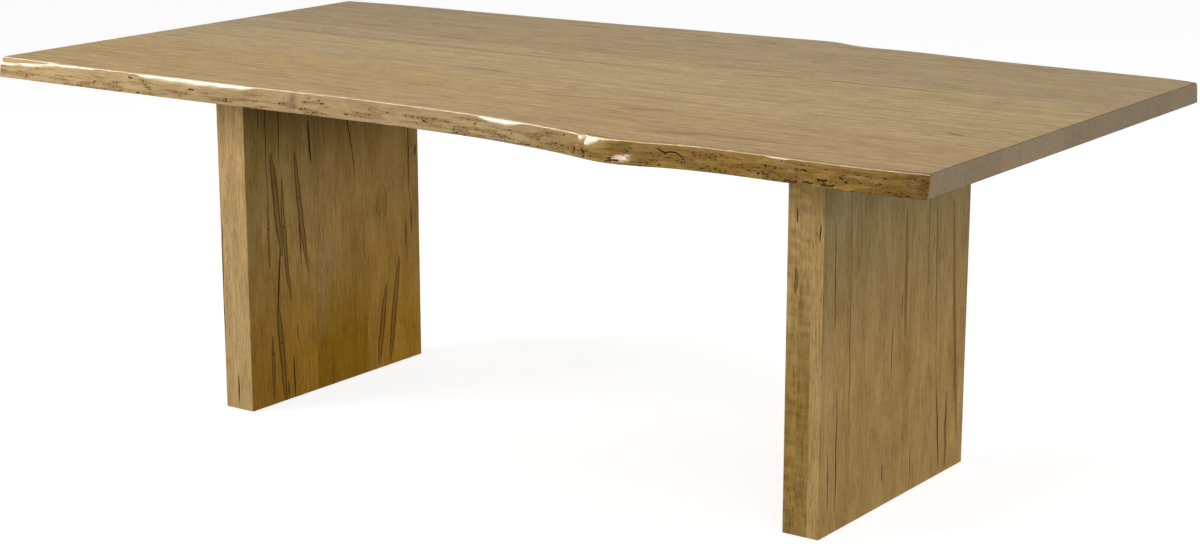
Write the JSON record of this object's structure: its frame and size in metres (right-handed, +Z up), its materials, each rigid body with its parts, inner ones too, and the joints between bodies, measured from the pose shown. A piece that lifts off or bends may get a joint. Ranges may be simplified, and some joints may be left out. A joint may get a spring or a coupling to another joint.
{
  "type": "double pedestal table",
  "caption": "Live-edge dining table: a glued-up plank top with wavy natural long edges on slab legs at each end, standing on screw levelling feet.",
  "frame": {"origin": "on the floor, under the centre of the overall box", "axes": "+X along the top, +Y from the front live edge to the back one, +Z up"},
  "size_m": [2.14, 1.2323, 0.762],
  "materials": {
    "top_maple": "satin lacquer over honey stain",
    "live_edge_maple": "satin lacquer over honey stain, worm-tracked natural edge",
    "leg_maple": "satin lacquer over honey stain, dark mineral streaks",
    "beech_dowel": "turned, bare",
    "black_steel_plate": "black powder coat",
    "zinc_steel": "bright zinc plate",
    "brass_insert": "turned",
    "nylon_pad": "moulded"
  },
  "bodies": {
    "table": {"back_live_board": "live_edge_maple", "front_live_board": "live_edge_maple", "left_foot_bushes": "zinc_steel", "left_leg_core_1": "leg_maple", "left_leg_core_2": "leg_maple", "left_leg_core_3": "leg_maple", "left_leg_inner_1": "leg_maple", "left_leg_inner_2": "leg_maple", "left_leg_inner_3": "leg_maple", "left_leg_outer_1": "leg_maple", "left_leg_outer_2": "leg_maple", "left_leg_outer_3": "leg_maple", "left_leg_screws": "zinc_steel", "left_mount_plate": "black_steel_plate", "left_top_bolts": "zinc_steel", "left_top_inserts": "brass_insert", "left_top_washers": "zinc_steel", "right_foot_bushes": "zinc_steel", "right_leg_core_1": "leg_maple", "right_leg_core_2": "leg_maple", "right_leg_core_3": "leg_maple", "right_leg_inner_1": "leg_maple", "right_leg_inner_2": "leg_maple", "right_leg_inner_3": "leg_maple", "right_leg_outer_1": "leg_maple", "right_leg_outer_2": "leg_maple", "right_leg_outer_3": "leg_maple", "right_leg_outer_4": "leg_maple", "right_leg_screws": "zinc_steel", "right_mount_plate": "black_steel_plate", "right_top_bolts": "zinc_steel", "right_top_inserts": "brass_insert", "right_top_washers": "zinc_steel", "top_board_1": "top_maple", "top_board_2": "top_maple", "top_board_3": "top_maple", "top_board_4": "top_maple", "top_board_5": "top_maple", "top_board_6": "top_maple", "top_board_7": "top_maple", "top_dowels": "beech_dowel"},
    "left_front_pad": {"left_front_foot_pad": "nylon_pad"},
    "left_front_stem": {"left_front_foot_stem": "zinc_steel"},
    "left_back_pad": {"left_back_foot_pad": "nylon_pad"},
    "left_back_stem": {"left_back_foot_stem": "zinc_steel"},
    "right_front_pad": {"right_front_foot_pad": "nylon_pad"},
    "right_front_stem": {"right_front_foot_stem": "zinc_steel"},
    "right_back_pad": {"right_back_foot_pad": "nylon_pad"},
    "right_back_stem": {"right_back_foot_stem": "zinc_steel"}
  },
  "joints": [
    {"name": "left_front_foot_travel", "type": "slide", "parent": "table", "child": "left_front_pad", "axis": [0, 0, -1], "range_m": [0, 0.012]},
    {"name": "left_front_stem_turn", "type": "hinge", "parent": "left_front_pad", "child": "left_front_stem", "pos_m": [-0.693, -0.2225, 0], "axis": [0, 0, -1], "range_deg": [0, 2881]},
    {"name": "left_back_foot_travel", "type": "slide", "parent": "table", "child": "left_back_pad", "axis": [0, 0, -1], "range_m": [0, 0.012]},
    {"name": "left_back_stem_turn", "type": "hinge", "parent": "left_back_pad", "child": "left_back_stem", "pos_m": [-0.693, 0.1925, 0], "axis": [0, 0, -1], "range_deg": [0, 2881]},
    {"name": "right_front_foot_travel", "type": "slide", "parent": "table", "child": "right_front_pad", "axis": [0, 0, -1], "range_m": [0, 0.012]},
    {"name": "right_front_stem_turn", "type": "hinge", "parent": "right_front_pad", "child": "right_front_stem", "pos_m": [0.693, -0.2225, 0], "axis": [0, 0, -1], "range_deg": [0, 2881]},
    {"name": "right_back_foot_travel", "type": "slide", "parent": "table", "child": "right_back_pad", "axis": [0, 0, -1], "range_m": [0, 0.012]},
    {"name": "right_back_stem_turn", "type": "hinge", "parent": "right_back_pad", "child": "right_back_stem", "pos_m": [0.693, 0.1925, 0], "axis": [0, 0, -1], "range_deg": [0, 2881]}
  ],
  "couplings": [
    {"joint": "left_front_stem_turn", "follows": "left_front_foot_travel", "rad_per_m": 4188.8},
    {"joint": "left_back_stem_turn", "follows": "left_back_foot_travel", "rad_per_m": 4188.8},
    {"joint": "right_front_stem_turn", "follows": "right_front_foot_travel", "rad_per_m": 4188.8},
    {"joint": "right_back_stem_turn", "follows": "right_back_foot_travel", "rad_per_m": 4188.8}
  ]
}
